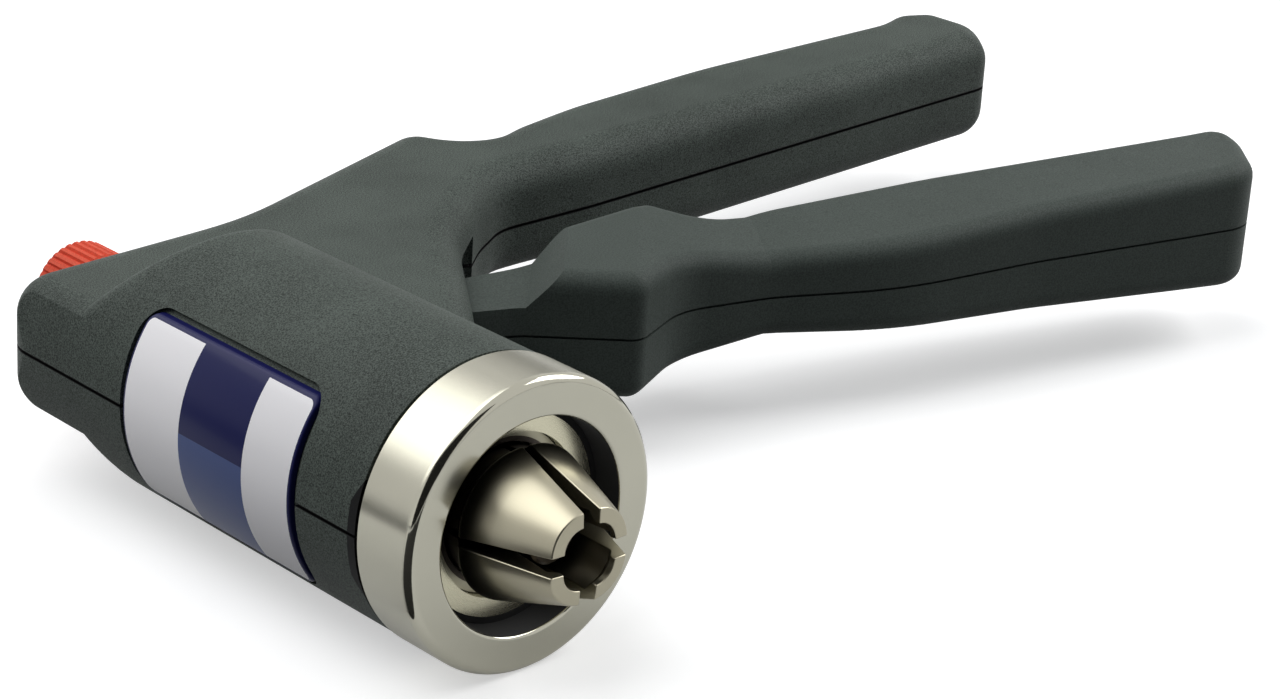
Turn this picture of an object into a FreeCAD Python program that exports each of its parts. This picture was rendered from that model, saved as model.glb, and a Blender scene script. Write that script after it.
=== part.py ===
import FreeCAD
import Part
import math
import os

# Hand crimper for the aluminium caps of small vials, lying on its side.
# Millimetres. The barrel axis is Y and the nose points to -Y. The handles reach
# to +X, and Z is up, square to the plane in which the moulded halves meet.
# The origin is on the barrel axis, at the middle of the nose ring's straight
# outside wall. "back" below is a distance behind the nose ring's front face.

V = FreeCAD.Vector

# Fits and gaps
RUN = 0.05
SEAT = 0.05
FREE = 0.3
PART_LINE_DEPTH = 0.6
PART_LINE_HALF = 0.2

# Nose ring
RING_PROUD = 0.15
RING_LONG = 10.4
RING_EDGE_R = 1.3
RING_LIP_R = 0.5
RING_REAR_CHAMFER = 0.4

# Crimping jaws, drawn closed and then opened about their beads
JAW_OPEN = 4.5
JAW_TIP_BACK = -10.4
JAW_TIP_R = 5.0
JAW_TIP_EDGE_R = 0.3
JAW_LIP_R = 3.1
JAW_LIP_LONG = 1.0
JAW_BORE_R = 4.3
JAW_NECK_R = 8.8
JAW_NECK_BACK = 2.8
JAW_SLIT = 0.3
JAW_PIVOT_BACK = 10.4
JAW_BEAD_PROUD = 0.4
JAW_BEAD_R = 1.3
JAW_WEB = 1.2
JAW_TAIL_BACK = 24.4
JAW_TAIL_WALL = 1.4
JAW_RING_BACK = 21.0
JAW_RING_WIRE_R = 0.8
JAW_RING_GROOVE_DEEP = 0.7
BEAD_ROOM = 0.35
JAW_NAMES = ["jaw_top_right", "jaw_top_left", "jaw_bottom_left", "jaw_bottom_right"]

# Head: the tube that carries the jaws, their collar and their seat
HEAD_FLOOR_BACK = 4.7
HEAD_FLOOR_WIDE = 2.77
HEAD_SHOULDER_BACK = 15.4
HEAD_BORE_ROOM = 0.4
HEAD_BORE_STEP = 0.6
HEAD_END_BACK = 47.0
HEAD_FLANGE_PROUD = 2.2
HEAD_FLANGE_BACK = 14.0
HEAD_FLANGE_LONG = 4.0
COLLAR_FACE_BACK = 6.4
COLLAR_STEP_BACK = 8.6
COLLAR_NOSE_WALL = 2.4
COLLAR_RIM = 0.85

# Lever pivot and steel core
SQUEEZE = 14.0
PIVOT_X = 27.0
PIVOT_BACK = 61.0
PIVOT_PIN_R = 3.0
PIVOT_PIN_HALF = 8.5
HUB_R = 6.0
HUB_HALF = 6.4
BUSH_WALL = 1.2
BUSH_LONG = 5.4
BUSH_FLANGE = 0.6
BUSH_FLANGE_R = 5.4
FORK_ROOT_HALF = 4.8
FORK_WAIST_HALF = 3.2
FORK_WAIST_LONG = 3.0
FORK_CROTCH = 5.0
TINE_TIP_R = 2.6
TINE_NECK_HALF = 1.3
TINE_NECK_FREE = 1.0
CORE_HALF = 2.0

# Moulded lever
TONGUE_HALF = 4.4
TONGUE_FREE = 0.4
KNUCKLE_HALF = 9.75
GRIP_NEAR = 62.0
GRIP_NEAR_HALF = 6.9
GRIP_FAR = 155.0
GRIP_FAR_HALF = 11.0
LEVER_EDGE_R = 3.0
RAMP_FOOT = (23.6, -1.4)
RAMP_TURN = 46.5
RAMP_LONG = 5.2
KNUCKLE_LONG = 10.4
KNUCKLE_FALL = 18.0
FALL_REACH = 30.0

# Closing sleeve and its spring
SLEEVE_NOSE_LONG = 3.4
SPOOL_WALL = 1.3
SPOOL_RIM = 0.5
SPOOL_REAR_STEP = 0.6
SPOOL_FRONT_LONG = 3.0
SPOOL_REAR_LONG = 2.2
SPOOL_PLAY = 0.15
GUIDE_BACK = 32.0
GUIDE_LONG = 6.0
SPRING_WIRE_R = 0.7
SPRING_ROOM = 1.3
SPRING_TURNS = 6

# Anvil
ANVIL_FACE_BACK = -3.9
ANVIL_ROOM = 0.6
ANVIL_HEAD_LONG = 7.0
ANVIL_CHAMFER = 0.4
ANVIL_ROD_R = 2.6
ANVIL_STUD_R = 1.5
ANVIL_STUD_LONG = 4.0
ROD_TAIL_BACK = 71.2
ROD_TAIL_LONG = 10.8
ROD_TAIL_R = 4.5
KEY_PIN_BACK = 73.3
KEY_PIN_R = 1.0
KEY_PIN_HALF = 5.8
KEY_PIN_WALL = 1.0

# Adjuster
ADJUST_TRAVEL = 1.0
SCREW_R = 2.0
SHAFT_R = 2.5
SHAFT_FLAT_DEEP = 0.6
ADJUSTER_R = 7.5
ADJUSTER_FLANGE_R = 8.5
ADJUSTER_FLANGE_BACK = 80.0
ADJUSTER_FLANGE_LONG = 2.0
ADJUSTER_END_BACK = 92.3
CLIP_BACK = 84.0
CLIP_LONG = 0.7
THRUST_LONG = 2.0
FRICTION_RING_R = 0.6
FRICTION_RING_WALL = 1.5
KNOB_R = 7.3
KNOB_BACK = 94.8
KNOB_LONG = 8.4
KNOB_EDGE = 0.8
KNOB_RIBS = 36
KNOB_RIB_DEEP = 0.45
KNOB_RIB_CREST = 0.42
KNOB_RIB_FLANK = 0.18
KNOB_SHAFT_LONG = 4.6
KNOB_SCREW_SEAT = 0.8
KNOB_SCREW_R = 1.45
KNOB_SCREW_LONG = 5.0
KNOB_SCREW_HEAD_R = 3.0
KNOB_SCREW_HEAD_LONG = 2.0
KNOB_SOCKET_R = 1.3
KNOB_SOCKET_DEEP = 1.2

# Moulded housing
BARREL_WALL = 3.13
BARREL_GAP = 0.35
BULGE_END_BACK = 65.0
BULGE_SLOPE = 46.7
BULGE_RIDGE_R = 3.0
BULGE_FOOT_SINK = 1.0
PLATE_HALF = 10.0
PLATE_EDGE_R = 5.6
PLATE_ROOT = 10.0
SADDLE_X = 76.0
SADDLE_DEEP = 1.7
SADDLE_REACH = 34.0
SADDLE_R = 250.0
WALL = 2.7

# Moulding screws
SELF_TAP_R = 1.4
SELF_TAP_HEAD_R = 2.8
SELF_TAP_HEAD_LONG = 1.8
SELF_TAP_SINK = 1.2
SELF_TAP_SOCKET_R = 1.4
SELF_TAP_SOCKET_DEEP = 1.1
BOSS_R = 3.6
RIB_THICK = 1.8

# Label on the barrel's left side
LABEL_BACK = 24.0
LABEL_LONG = 37.0
LABEL_HALF_ANGLE = 40.5
LABEL_CORNER_R = 3.0
LABEL_THICK = 1.0
LABEL_SINK = 0.8
LABEL_MARGIN = 1.0

# A cut runs this far past the face it opens, and FAR is longer than the tool
PAST = 1.0
FAR = 300.0

# Sizes that follow from those above
FACE_Y = -(RING_EDGE_R + RING_LONG - RING_REAR_CHAMFER) / 2
ARM_LEAN = SQUEEZE / 2
ARM_REACH = PIVOT_X / math.cos(math.radians(ARM_LEAN))
GROOVE_BACK = PIVOT_BACK + PIVOT_X * math.tan(math.radians(ARM_LEAN))
STROKE = 2 * PIVOT_X * math.tan(math.radians(ARM_LEAN))
TAIL_SWING = (JAW_TAIL_BACK - JAW_PIVOT_BACK) * math.sin(math.radians(JAW_OPEN))
JAW_PIVOT_R = JAW_NECK_R + JAW_BEAD_PROUD
JAW_TAIL_BORE_R = JAW_NECK_R - JAW_TAIL_WALL
JAW_RING_IN_R = JAW_NECK_R - JAW_RING_GROOVE_DEEP + FREE
HEAD_BORE_R = JAW_RING_IN_R + 2 * JAW_RING_WIRE_R + HEAD_BORE_ROOM
HEAD_REAR_BORE_R = HEAD_BORE_R + HEAD_BORE_STEP
COLLAR_NOSE_R = JAW_NECK_R + COLLAR_NOSE_WALL
HEAD_HOLE_R = COLLAR_NOSE_R + COLLAR_RIM
HEAD_R = HEAD_HOLE_R + HEAD_FLOOR_WIDE
HEAD_FLANGE_R = HEAD_R + HEAD_FLANGE_PROUD
RING_BORE_R = HEAD_R + SEAT
BARREL_R = HEAD_FLANGE_R + SEAT + BARREL_WALL
RING_R = BARREL_R + RING_PROUD
SLEEVE_R = JAW_TAIL_BORE_R - FREE
SLEEVE_NOSE_R = JAW_TAIL_BORE_R - TAIL_SWING - FREE
SLEEVE_BORE_R = ANVIL_ROD_R + FREE
SPOOL_BOTTOM_R = SLEEVE_BORE_R + SPOOL_WALL
SPRING_MEAN_R = SLEEVE_R + SPRING_ROOM + SPRING_WIRE_R
SPOOL_FRONT_R = SPRING_MEAN_R + SPOOL_RIM
SPOOL_REAR_R = SPOOL_FRONT_R - SPOOL_REAR_STEP
CHAMBER_R = SPOOL_FRONT_R + 2 * FREE
TINE_IN_Z = SPOOL_BOTTOM_R + FREE
ANVIL_HEAD_R = JAW_BORE_R - ANVIL_ROOM
RIDGE_REACH = RAMP_LONG + KNUCKLE_LONG
GUIDE_END = GUIDE_BACK + GUIDE_LONG
SPOOL_FRONT_BACK = GROOVE_BACK - TINE_TIP_R - SPOOL_PLAY
SPOOL_REAR_BACK = GROOVE_BACK + TINE_TIP_R + SPOOL_PLAY
SPRING_END = SPOOL_FRONT_BACK - SPOOL_FRONT_LONG
HEAD_FLANGE_END = HEAD_FLANGE_BACK + HEAD_FLANGE_LONG
HOUSING_FRONT = RING_LONG + BARREL_GAP
CHAMBER_END = ROD_TAIL_BACK
POCKET_HALF = PLATE_HALF - WALL
ADJUSTER_FLANGE_END = ADJUSTER_FLANGE_BACK + ADJUSTER_FLANGE_LONG
THRUST_BACK = CLIP_BACK + CLIP_LONG + RUN
THRUST_END = THRUST_BACK + THRUST_LONG + RUN
FRICTION_BACK = THRUST_END + FRICTION_RING_WALL
SHAFT_END = KNOB_BACK + KNOB_SHAFT_LONG
KNOB_END = KNOB_BACK + KNOB_LONG
KNOB_SEAT_BACK = SHAFT_END + FREE + KNOB_SCREW_SEAT

# Outlines in plan, as x, distance back and corner radius
PLATE_OUTLINE = [
    (-PLATE_ROOT, 28, 0), (-PLATE_ROOT, 62, 0), (-BARREL_R, 73, 0), (-BARREL_R, 91.5, 7),
    (22, 95.5, 60), (70, 114.0, 6), (76, 102.8, 7), (86, 106.6, 30), (100, 110.0, 80),
    (134, 114.5, 150), (183, 117.0, 20), (190.1, 119.6, 6), (198.6, 116.2, 6), (199.0, 104, 8),
    (193.6, 97.4, 6), (88, 87.9, 40), (68.5, 87.2, 12), (59.5, 81.6, 30), (46.4, 70.6, 30),
    (33.7, 52.7, 60), (22, 36.6, 10), (16, 28, 0),
]
HANDLE_HOLLOW = [
    (92, 93.6, 3), (190, 102.3, 3), (190, 112.5, 3), (134, 109.0, 50), (92, 103.0, 3),
]
HANDLE_RIBS = [113, 135, 155, 173]
HOUSING_SCREWS = [(-13.5, 83.0), (14.5, 84.5), (52.0, 92.0)]
HANDLE_SCREWS = [(104.0, 99.5), (184.0, 106.5)]

# Outlines of the lever and its room, from the lever's pivot
LEVER_OUTLINE = [
    (2, 5.6, 0), (25, 2.9, 25), (51.5, 5.2, 3), (57, -2.3, 8), (70, -2.7, 30), (100, -8.5, 100),
    (150, -21.5, 30), (158.4, -23.3, 4.0), (155.1, -30.5, 14), (146.6, -40.4, 8), (133, -37.8, 40),
    (104, -31.8, 80), (76, -28.0, 60), (57, -19.5, 30), (41, -15.8, 14), (28, -21.4, 3),
    (14.5, -9.8, 8), (4, -6.0, 0),
]
CORE_OUTLINE = [
    (0, 4, 0), (21, 2, 10), (39, -0.5, 20), (85, -12.5, 3), (83, -21.5, 3), (39, -10.5, 20),
    (23, -8, 8), (0, -4.5, 0),
]
LEVER_HOLLOW = [
    (65, -18.5, 4), (89, -25, 20), (144, -34, 4), (150.5, -26, 4), (89, -11, 20), (65, -8, 4),
]
LEVER_RIBS = [77, 109, 129]
KNUCKLE_SCREW = (37, -6)
GRIP_SCREWS = [(94, -19), (148, -29)]
SWING_OUTLINE = [
    (-7, -6, 0), (3, -11, 2), (7, -15, 0), (39, 5, 0), (26.5, 18, 5), (17, 15, 3), (-7, 7, 0),
]


def at(x, back, z=0.0):
    """A point from its distance behind the nose ring's front face."""
    return V(x, FACE_Y + back, z)


def swept(points, direction):
    """A solid made by moving a flat polygon along a direction."""
    return Part.Face(Part.makePolygon(points + points[:1])).extrude(direction)


def turned(profile):
    """A solid of revolution on the barrel axis, from (radius, back) points."""
    points = [at(r, back) for r, back in profile]
    face = Part.Face(Part.makePolygon(points + points[:1]))
    return face.revolve(V(0, 0, 0), V(0, 1, 0), 360)


def tube(bore_r, outer_r, front, rear):
    return turned([(bore_r, front), (outer_r, front), (outer_r, rear), (bore_r, rear)])


def rod(r, front, rear):
    return tube(0, r, front, rear)


def post(x, back, r, low, high):
    """An upright cylinder."""
    return Part.makeCylinder(r, high - low, at(x, back, low))


def block(x0, x1, back0, back1, z0, z1):
    return Part.makeBox(x1 - x0, back1 - back0, z1 - z0, at(x0, back0, z0))


def other_side(shape):
    """The shape's mirror image below the parting plane."""
    return shape.mirror(V(0, 0, 0), V(0, 0, 1))


def from_pivot(outline):
    """An outline or list of places given from the lever's pivot, in plan."""
    return [(PIVOT_X + item[0], PIVOT_BACK + item[1]) + tuple(item[2:]) for item in outline]


def rounded_wire(outline):
    """A closed wire in plan whose corners carry arcs of the given radii."""
    corners = []
    count = len(outline)
    for i, (x, back, radius) in enumerate(outline):
        corner = at(x, back)
        if radius == 0:
            corners.append((corner, None, corner))
            continue
        before = at(*outline[i - 1][:2]) - corner
        after = at(*outline[(i + 1) % count][:2]) - corner
        before.normalize()
        after.normalize()
        half = before.getAngle(after) / 2
        reach = radius / math.tan(half)
        middle = before + after
        middle.normalize()
        apex = corner + middle * (radius / math.sin(half) - radius)
        corners.append((corner + before * reach, apex, corner + after * reach))
    edges = []
    for i, (into, apex, out) in enumerate(corners):
        edges.append(Part.makeLine(corners[i - 1][2], into))
        if apex is not None:
            edges.append(Part.Arc(into, apex, out).toShape())
    return Part.Wire(edges)


def slab(outline, half, margin=0.0):
    """An upright prism on a rounded outline, as far above the parting plane as below."""
    face = Part.Face(rounded_wire(outline))
    if margin:
        face = face.makeOffset2D(margin)
    face.translate(V(0, 0, -half - margin))
    return face.extrude(V(0, 0, 2 * (half + margin)))


def side_prism(profile):
    """A prism along the barrel, from an outline given as x, height and corner radius."""
    face = Part.Face(rounded_wire([(x, z - FACE_Y, radius) for x, z, radius in profile]))
    face.rotate(V(0, 0, 0), V(1, 0, 0), 90)
    face.translate(V(0, FAR, 0))
    return face.extrude(V(0, -2 * FAR, 0))


def soft_form(outline, reach, edge_r):
    """An upright prism on a rounded outline, kept within its reach, with both rims rounded over."""
    wire = rounded_wire(outline)
    body = slab(outline, FAR / 2).common(reach)
    rims = []
    for edge in body.Edges:
        box = edge.BoundBox
        middle = edge.valueAt((edge.FirstParameter + edge.LastParameter) / 2)
        off_wire = wire.distToShape(Part.Vertex(middle.x, middle.y, 0))[0]
        if max(box.XLength, box.YLength) > RUN and off_wire < RUN:
            rims.append(edge)
    return body.makeFillet(edge_r, rims)


def edges_at(shape, back, low_r, high_r):
    """The round edges of a turned shape at one place along the barrel, by radius."""
    found = []
    for edge in shape.Edges:
        box = edge.BoundBox
        if box.YLength < RUN and abs(box.YMin - FACE_Y - back) < RUN and low_r < box.XMax < high_r:
            found.append(edge)
    return found


def hex_socket(direction, mouth, r, deep):
    """A six-sided hole, from its mouth along direction."""
    side = V(1, 0, 0)
    up = direction.cross(side)
    points = []
    for i in range(6):
        angle = math.radians(60 * i)
        points.append(mouth + side * (r * math.cos(angle)) + up * (r * math.sin(angle)))
    return swept(points, direction * deep)


def save(name, shape):
    shape.exportStep("parts/" + name + ".step")
    print(name, len(shape.Solids), round(shape.Volume, 1), shape.isValid())


def nose_ring():
    ring = tube(RING_BORE_R, RING_R, 0, RING_LONG)
    ring = ring.makeChamfer(RING_REAR_CHAMFER, edges_at(ring, RING_LONG, RING_R - RUN, RING_R + RUN))
    ring = ring.makeFillet(RING_EDGE_R, edges_at(ring, 0, RING_R - RUN, RING_R + RUN))
    return ring.makeFillet(RING_LIP_R, edges_at(ring, 0, RING_BORE_R - RUN, RING_BORE_R + RUN))


def head_tube():
    return turned([
        (HEAD_HOLE_R, HEAD_FLOOR_BACK), (HEAD_R, HEAD_FLOOR_BACK), (HEAD_R, HEAD_FLANGE_BACK),
        (HEAD_FLANGE_R, HEAD_FLANGE_BACK), (HEAD_FLANGE_R, HEAD_FLANGE_END), (HEAD_R, HEAD_FLANGE_END),
        (HEAD_R, HEAD_END_BACK), (HEAD_REAR_BORE_R, HEAD_END_BACK), (HEAD_REAR_BORE_R, GUIDE_BACK),
        (HEAD_BORE_R, GUIDE_BACK), (HEAD_BORE_R, HEAD_SHOULDER_BACK), (HEAD_HOLE_R, HEAD_SHOULDER_BACK),
    ])


def bead(r):
    """The ring of round section on which the jaws rock, or the room for it."""
    return Part.makeTorus(JAW_PIVOT_R, r, at(0, JAW_PIVOT_BACK), V(0, 1, 0))


def jaw_collar():
    swing = (JAW_PIVOT_BACK - COLLAR_FACE_BACK) * math.sin(math.radians(JAW_OPEN))
    bore_r = JAW_NECK_R + swing + FREE
    outer_r = HEAD_HOLE_R - SEAT
    body = turned([
        (bore_r, COLLAR_FACE_BACK), (COLLAR_NOSE_R, COLLAR_FACE_BACK), (COLLAR_NOSE_R, COLLAR_STEP_BACK),
        (outer_r, COLLAR_STEP_BACK), (outer_r, JAW_PIVOT_BACK), (bore_r, JAW_PIVOT_BACK),
    ])
    return body.cut(bead(JAW_BEAD_R + BEAD_ROOM))


def jaw_seat():
    body = tube(JAW_NECK_R + FREE, HEAD_HOLE_R - SEAT, JAW_PIVOT_BACK, HEAD_SHOULDER_BACK)
    return body.cut(bead(JAW_BEAD_R + BEAD_ROOM))


def jaw_quarter():
    """The jaw at 45 degrees, closed: a quarter of a turned collet, cut by two slits."""
    web_back = JAW_PIVOT_BACK + JAW_BEAD_R + JAW_WEB
    groove = JAW_RING_WIRE_R + FREE
    groove_r = JAW_NECK_R - JAW_RING_GROOVE_DEEP
    collet = turned([
        (JAW_LIP_R, JAW_TIP_BACK), (JAW_TIP_R, JAW_TIP_BACK), (JAW_NECK_R, JAW_NECK_BACK),
        (JAW_NECK_R, JAW_RING_BACK - groove), (groove_r, JAW_RING_BACK - groove),
        (groove_r, JAW_RING_BACK + groove), (JAW_NECK_R, JAW_RING_BACK + groove),
        (JAW_NECK_R, JAW_TAIL_BACK), (JAW_TAIL_BORE_R, JAW_TAIL_BACK), (JAW_TAIL_BORE_R, web_back),
        (JAW_BORE_R, web_back), (JAW_BORE_R, JAW_TIP_BACK + 2 * JAW_LIP_LONG),
        (JAW_LIP_R, JAW_TIP_BACK + JAW_LIP_LONG),
    ])
    tip_rim = edges_at(collet, JAW_TIP_BACK, JAW_TIP_R - RUN, JAW_TIP_R + RUN)
    collet = collet.makeFillet(JAW_TIP_EDGE_R, tip_rim)
    collet = collet.fuse(bead(JAW_BEAD_R)).removeSplitter()
    slit = JAW_SLIT / 2
    tail_slit = slit + TAIL_SWING * math.sin(math.radians(45)) + FREE / 2
    above = swept([
        at(-FAR, JAW_TIP_BACK - PAST, slit), at(-FAR, JAW_PIVOT_BACK, slit),
        at(-FAR, JAW_TAIL_BACK + PAST, tail_slit), at(-FAR, JAW_TAIL_BACK + PAST, FAR),
        at(-FAR, JAW_TIP_BACK - PAST, FAR),
    ], V(2 * FAR, 0, 0))
    beside = above.copy()
    beside.rotate(V(0, 0, 0), V(0, 1, 0), 90)
    return collet.common(above).common(beside)


def jaw(angle):
    """One jaw in its place round the barrel axis, tipped open about its bead."""
    shape = jaw_quarter()
    diagonal = math.radians(45)
    middle = V(math.cos(diagonal), 0, math.sin(diagonal))
    pivot = at(0, JAW_PIVOT_BACK) + middle * JAW_PIVOT_R
    shape.rotate(pivot, middle.cross(V(0, -1, 0)), -JAW_OPEN)
    shape.rotate(V(0, 0, 0), V(0, 1, 0), 45 - angle)
    return shape


def jaw_ring():
    """The elastic ring that draws the jaw tails in and so opens the jaws."""
    mean_r = JAW_RING_IN_R + JAW_RING_WIRE_R
    return Part.makeTorus(mean_r, JAW_RING_WIRE_R, at(0, JAW_RING_BACK), V(0, 1, 0))


def closing_sleeve():
    """The sleeve whose cone spreads the jaw tails, with the spool that the fork drives."""
    cone_front = JAW_TAIL_BACK + FREE
    cone_rear = cone_front + STROKE - 2 * FREE
    end = SPOOL_REAR_BACK + SPOOL_REAR_LONG
    return turned([
        (SLEEVE_BORE_R, cone_front - SLEEVE_NOSE_LONG), (SLEEVE_NOSE_R, cone_front - SLEEVE_NOSE_LONG),
        (SLEEVE_NOSE_R, cone_front), (SLEEVE_R, cone_rear), (SLEEVE_R, SPRING_END),
        (SPOOL_FRONT_R, SPRING_END), (SPOOL_FRONT_R, SPOOL_FRONT_BACK),
        (SPOOL_BOTTOM_R, SPOOL_FRONT_BACK), (SPOOL_BOTTOM_R, SPOOL_REAR_BACK),
        (SPOOL_REAR_R, SPOOL_REAR_BACK), (SPOOL_REAR_R, end), (SLEEVE_BORE_R, end),
    ])


def guide_bush():
    return tube(SLEEVE_R + RUN, HEAD_REAR_BORE_R - SEAT, GUIDE_BACK, GUIDE_END)


def return_spring():
    """A compression spring between the guide bush and the sleeve's front flange."""
    front = GUIDE_END + SPRING_WIRE_R + RUN
    rear = SPRING_END - SPRING_WIRE_R - RUN
    helix = Part.makeHelix((rear - front) / SPRING_TURNS, rear - front, SPRING_MEAN_R)
    profile = Part.Wire(Part.makeCircle(SPRING_WIRE_R, V(SPRING_MEAN_R, 0, 0), V(0, 1, 0)))
    coil = Part.Wire(helix).makePipeShell([profile], True, True)
    coil.rotate(V(0, 0, 0), V(1, 0, 0), -90)
    coil.translate(at(0, front))
    return coil


def anvil_head():
    end = ANVIL_FACE_BACK + ANVIL_HEAD_LONG
    body = rod(ANVIL_HEAD_R, ANVIL_FACE_BACK, end)
    rim = edges_at(body, ANVIL_FACE_BACK, ANVIL_HEAD_R - RUN, ANVIL_HEAD_R + RUN)
    body = body.makeChamfer(ANVIL_CHAMFER, rim)
    return body.cut(rod(ANVIL_STUD_R + SEAT, end - ANVIL_STUD_LONG - FREE, end))


def key_pin(r, half):
    return Part.makeCylinder(r, 2 * half, at(-half, KEY_PIN_BACK), V(1, 0, 0))


def anvil_rod():
    shoulder = ANVIL_FACE_BACK + ANVIL_HEAD_LONG
    tail_end = ROD_TAIL_BACK + ROD_TAIL_LONG
    body = turned([
        (0, shoulder - ANVIL_STUD_LONG), (ANVIL_STUD_R, shoulder - ANVIL_STUD_LONG),
        (ANVIL_STUD_R, shoulder), (ANVIL_ROD_R, shoulder), (ANVIL_ROD_R, ROD_TAIL_BACK),
        (ROD_TAIL_R, ROD_TAIL_BACK), (ROD_TAIL_R, tail_end), (0, tail_end),
    ])
    body = body.cut(rod(SCREW_R + RUN, KEY_PIN_BACK + KEY_PIN_R + KEY_PIN_WALL, tail_end))
    return body.cut(key_pin(KEY_PIN_R + SEAT, ROD_TAIL_R + PAST))


def anvil_key_pin():
    return key_pin(KEY_PIN_R, KEY_PIN_HALF)


def adjuster_bush():
    tail_bore = ROD_TAIL_R + RUN
    shaft_bore = SHAFT_R + RUN
    ring_rear = FRICTION_BACK + 2 * (FRICTION_RING_R + RUN)
    ring_r = SHAFT_R + 2 * FRICTION_RING_R + 3 * RUN
    body = turned([
        (tail_bore, CHAMBER_END), (ADJUSTER_R, CHAMBER_END), (ADJUSTER_R, ADJUSTER_FLANGE_BACK),
        (ADJUSTER_FLANGE_R, ADJUSTER_FLANGE_BACK), (ADJUSTER_FLANGE_R, ADJUSTER_FLANGE_END),
        (ADJUSTER_R, ADJUSTER_FLANGE_END), (ADJUSTER_R, ADJUSTER_END_BACK), (shaft_bore, ADJUSTER_END_BACK),
        (shaft_bore, ring_rear), (ring_r, ring_rear), (ring_r, FRICTION_BACK), (shaft_bore, FRICTION_BACK),
        (shaft_bore, THRUST_END), (tail_bore, THRUST_END),
    ])
    reach = KEY_PIN_BACK + ADJUST_TRAVEL + KEY_PIN_R + FREE
    half = KEY_PIN_R + RUN
    keyway = block(-KEY_PIN_HALF - FREE, KEY_PIN_HALF + FREE, CHAMBER_END - PAST, reach, -half, half)
    return body.cut(keyway)


def retaining_ring():
    return tube(SCREW_R + FREE, ROD_TAIL_R, CLIP_BACK, CLIP_BACK + CLIP_LONG)


def friction_ring():
    middle = FRICTION_BACK + RUN + FRICTION_RING_R
    mean_r = SHAFT_R + FRICTION_RING_R + 2 * RUN
    return Part.makeTorus(mean_r, FRICTION_RING_R, at(0, middle), V(0, 1, 0))


def shaft_flat(gap):
    """What the flat on the knob's shaft takes away."""
    low = SHAFT_R - SHAFT_FLAT_DEEP + gap
    return block(-SHAFT_R - PAST, SHAFT_R + PAST, KNOB_BACK, KNOB_END, low, SHAFT_R + PAST)


def adjuster_spindle():
    screw_front = KEY_PIN_BACK + KEY_PIN_R + KEY_PIN_WALL + ADJUST_TRAVEL + FREE
    collar_r = ROD_TAIL_R - RUN
    collar_end = THRUST_BACK + THRUST_LONG
    body = turned([
        (0, screw_front), (SCREW_R, screw_front), (SCREW_R, THRUST_BACK), (collar_r, THRUST_BACK),
        (collar_r, collar_end), (SHAFT_R, collar_end), (SHAFT_R, SHAFT_END), (0, SHAFT_END),
    ])
    body = body.cut(rod(KNOB_SCREW_R + SEAT, SHAFT_END - KNOB_SCREW_LONG - FREE, SHAFT_END))
    return body.cut(shaft_flat(0))


def adjuster_knob():
    """A knob ribbed along its length, on the spindle's flatted end."""
    bottom_r = KNOB_R - KNOB_RIB_DEEP
    rib = [
        (-KNOB_RIB_FLANK, bottom_r), (0, KNOB_R), (KNOB_RIB_CREST, KNOB_R),
        (KNOB_RIB_CREST + KNOB_RIB_FLANK, bottom_r),
    ]
    points = []
    for i in range(KNOB_RIBS):
        for share, r in rib:
            angle = 2 * math.pi * (i + share) / KNOB_RIBS
            points.append(at(r * math.cos(angle), KNOB_BACK, r * math.sin(angle)))
    star = swept(points, V(0, KNOB_LONG, 0))
    over_r = KNOB_R + RUN
    form = turned([
        (0, KNOB_BACK), (over_r - KNOB_EDGE, KNOB_BACK), (over_r, KNOB_BACK + KNOB_EDGE),
        (over_r, KNOB_END - KNOB_EDGE), (over_r - KNOB_EDGE, KNOB_END), (0, KNOB_END),
    ])
    knob = star.common(form)
    bore = rod(SHAFT_R + SEAT, KNOB_BACK, SHAFT_END + FREE).cut(shaft_flat(SEAT))
    knob = knob.cut(bore).cut(rod(KNOB_SCREW_R + FREE, SHAFT_END, KNOB_SEAT_BACK))
    return knob.cut(rod(KNOB_SCREW_HEAD_R + SEAT, KNOB_SEAT_BACK, KNOB_END))


def knob_screw():
    top = KNOB_SEAT_BACK + KNOB_SCREW_HEAD_LONG
    body = rod(KNOB_SCREW_R, SHAFT_END - KNOB_SCREW_LONG, KNOB_SEAT_BACK)
    body = body.fuse(rod(KNOB_SCREW_HEAD_R, KNOB_SEAT_BACK, top)).removeSplitter()
    return body.cut(hex_socket(V(0, -1, 0), at(0, top), KNOB_SOCKET_R, KNOB_SOCKET_DEEP))


def arm_spot(along, aside):
    """A place in plan from the lever's pivot: along the fork arm and square to it."""
    lean = math.radians(ARM_LEAN)
    x = PIVOT_X - along * math.cos(lean) + aside * math.sin(lean)
    back = PIVOT_BACK + along * math.sin(lean) + aside * math.cos(lean)
    return x, back


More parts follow.
